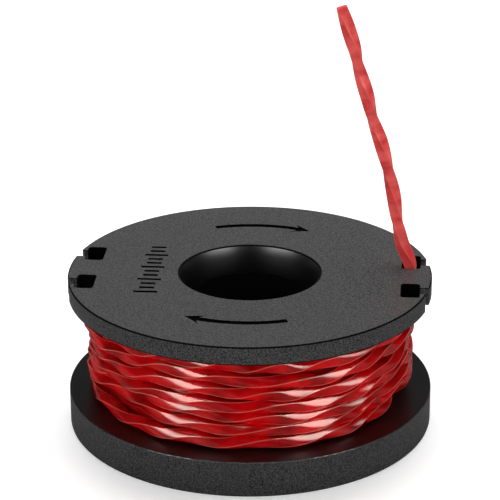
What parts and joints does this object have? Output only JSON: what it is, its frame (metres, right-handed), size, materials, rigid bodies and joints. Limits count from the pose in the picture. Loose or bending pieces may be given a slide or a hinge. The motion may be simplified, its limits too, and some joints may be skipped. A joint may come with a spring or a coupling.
{
  "type": "string trimmer line spool",
  "caption": "Flanged spool with a wide spindle bore and keyhole line slots, wound with twisted trimmer line whose free end stands up out of one slot.",
  "frame": {"origin": "centre of the face that the spool stands on, on the spool's axis", "axes": "+Z along the spool's axis towards the slotted flange, +X through the two ears between the line slots, with the free end of the line at +X"},
  "size_m": [0.0666, 0.0666, 0.077],
  "materials": {
    "spool_plastic": "fine-grained black moulding with a satin sheen",
    "trimmer_line": "translucent red twisted line with glossy edges"
  },
  "bodies": {
    "root": {"upper_flange": "spool_plastic", "hub_barrel": "spool_plastic", "lower_flange": "spool_plastic", "line_anchor_end": "trimmer_line", "line_inner_layers": "trimmer_line", "line_outer_turns": "trimmer_line", "line_tail": "trimmer_line"}
  },
  "joints": []
}
